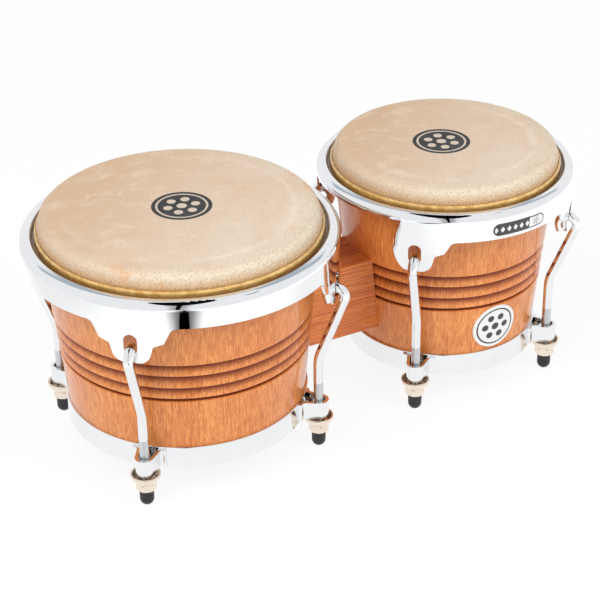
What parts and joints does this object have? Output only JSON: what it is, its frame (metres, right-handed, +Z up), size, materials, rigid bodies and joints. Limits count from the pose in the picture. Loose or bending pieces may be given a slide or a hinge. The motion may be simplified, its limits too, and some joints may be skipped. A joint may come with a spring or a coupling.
{
  "type": "bongo drums",
  "caption": "Pair of wooden bongo drums joined by a centre block, with hide heads, chromed rims, hooked tuning rods and rubber-tipped feet.",
  "frame": {"origin": "on the floor under the rubber tips, at the middle of the pair's outline", "axes": "+X from the large drum to the small drum, +Y away from the badge side, +Z up along the drums' axes"},
  "size_m": [0.4302, 0.2268, 0.1841],
  "materials": {
    "shell_wood": "gloss lacquer",
    "block_wood": "gloss lacquer",
    "chrome": "polished plating",
    "rod_chrome": "polished plating, cut thread at the foot",
    "nickel": "satin nickel plating",
    "black_rubber": "matte",
    "head_hide": "scraped natural hide",
    "tucked_hide": "dried, glossy tucked hide",
    "bolt_steel": "zinc plated",
    "insert_brass": "machined",
    "badge_white": "gloss enamel"
  },
  "bodies": {
    "frame": {"large_shell": "shell_wood", "large_bottom_band": "chrome", "large_head_skin": "head_hide", "large_block_bolts": "bolt_steel", "large_saddle_washers": "bolt_steel", "large_bracket_front_left": "chrome", "large_cup_washer_front_left": "nickel", "large_bracket_front_right": "chrome", "large_cup_washer_front_right": "nickel", "large_bracket_back_right": "chrome", "large_cup_washer_back_right": "nickel", "large_bracket_back_left": "chrome", "large_cup_washer_back_left": "nickel", "small_shell": "shell_wood", "small_bottom_band": "chrome", "small_head_skin": "head_hide", "small_block_bolts": "bolt_steel", "small_saddle_washers": "bolt_steel", "small_bracket_front_left": "chrome", "small_cup_washer_front_left": "nickel", "small_bracket_front_right": "chrome", "small_cup_washer_front_right": "nickel", "small_bracket_back_right": "chrome", "small_cup_washer_back_right": "nickel", "small_bracket_back_left": "chrome", "small_cup_washer_back_left": "nickel", "centre_block": "block_wood", "block_inserts": "insert_brass", "shell_badge": "badge_white"},
    "large_tuner": {"large_rim": "chrome", "large_flesh_hoop": "tucked_hide", "large_tuning_rod_front_left": "rod_chrome", "large_rubber_tip_front_left": "black_rubber", "large_tuning_rod_front_right": "rod_chrome", "large_rubber_tip_front_right": "black_rubber", "large_tuning_rod_back_right": "rod_chrome", "large_rubber_tip_back_right": "black_rubber", "large_tuning_rod_back_left": "rod_chrome", "large_rubber_tip_back_left": "black_rubber"},
    "large_nut_front_left": {"large_tuning_nut_front_left": "nickel"},
    "large_nut_front_right": {"large_tuning_nut_front_right": "nickel"},
    "large_nut_back_right": {"large_tuning_nut_back_right": "nickel"},
    "large_nut_back_left": {"large_tuning_nut_back_left": "nickel"},
    "small_tuner": {"small_rim": "chrome", "small_flesh_hoop": "tucked_hide", "small_tuning_rod_front_left": "rod_chrome", "small_rubber_tip_front_left": "black_rubber", "small_tuning_rod_front_right": "rod_chrome", "small_rubber_tip_front_right": "black_rubber", "small_tuning_rod_back_right": "rod_chrome", "small_rubber_tip_back_right": "black_rubber", "small_tuning_rod_back_left": "rod_chrome", "small_rubber_tip_back_left": "black_rubber", "rim_plate": "badge_white"},
    "small_nut_front_left": {"small_tuning_nut_front_left": "nickel"},
    "small_nut_front_right": {"small_tuning_nut_front_right": "nickel"},
    "small_nut_back_right": {"small_tuning_nut_back_right": "nickel"},
    "small_nut_back_left": {"small_tuning_nut_back_left": "nickel"}
  },
  "joints": [
    {"name": "large_tension", "type": "slide", "parent": "frame", "child": "large_tuner", "axis": [0, 0, 1], "range_m": [-0.004, 0]},
    {"name": "large_nut_turn_front_left", "type": "hinge", "parent": "frame", "child": "large_nut_front_left", "pos_m": [-0.16922, -0.07332, 0.0156], "axis": [0, 0, 1], "range_deg": [-2, 1442]},
    {"name": "large_nut_turn_front_right", "type": "hinge", "parent": "frame", "child": "large_nut_front_right", "pos_m": [-0.02848, -0.06742, 0.0156], "axis": [0, 0, 1], "range_deg": [-2, 1442]},
    {"name": "large_nut_turn_back_right", "type": "hinge", "parent": "frame", "child": "large_nut_back_right", "pos_m": [-0.03438, 0.07332, 0.0156], "axis": [0, 0, 1], "range_deg": [-2, 1442]},
    {"name": "large_nut_turn_back_left", "type": "hinge", "parent": "frame", "child": "large_nut_back_left", "pos_m": [-0.17511, 0.06742, 0.0156], "axis": [0, 0, 1], "range_deg": [-2, 1442]},
    {"name": "small_tension", "type": "slide", "parent": "frame", "child": "small_tuner", "axis": [0, 0, 1], "range_m": [-0.004, 0]},
    {"name": "small_nut_turn_front_left", "type": "hinge", "parent": "frame", "child": "small_nut_front_left", "pos_m": [0.05876, -0.05967, 0.0156], "axis": [0, 0, 1], "range_deg": [-2, 1442]},
    {"name": "small_nut_turn_front_right", "type": "hinge", "parent": "frame", "child": "small_nut_front_right", "pos_m": [0.17727, -0.05884, 0.0156], "axis": [0, 0, 1], "range_deg": [-2, 1442]},
    {"name": "small_nut_turn_back_right", "type": "hinge", "parent": "frame", "child": "small_nut_back_right", "pos_m": [0.17644, 0.05967, 0.0156], "axis": [0, 0, 1], "range_deg": [-2, 1442]},
    {"name": "small_nut_turn_back_left", "type": "hinge", "parent": "frame", "child": "small_nut_back_left", "pos_m": [0.05793, 0.05884, 0.0156], "axis": [0, 0, 1], "range_deg": [-2, 1442]}
  ],
  "couplings": [
    {"joint": "large_nut_turn_front_left", "follows": "large_tension", "rad_per_m": -6283.2},
    {"joint": "large_nut_turn_front_right", "follows": "large_tension", "rad_per_m": -6283.2},
    {"joint": "large_nut_turn_back_right", "follows": "large_tension", "rad_per_m": -6283.2},
    {"joint": "large_nut_turn_back_left", "follows": "large_tension", "rad_per_m": -6283.2},
    {"joint": "small_nut_turn_front_left", "follows": "small_tension", "rad_per_m": -6283.2},
    {"joint": "small_nut_turn_front_right", "follows": "small_tension", "rad_per_m": -6283.2},
    {"joint": "small_nut_turn_back_right", "follows": "small_tension", "rad_per_m": -6283.2},
    {"joint": "small_nut_turn_back_left", "follows": "small_tension", "rad_per_m": -6283.2}
  ]
}
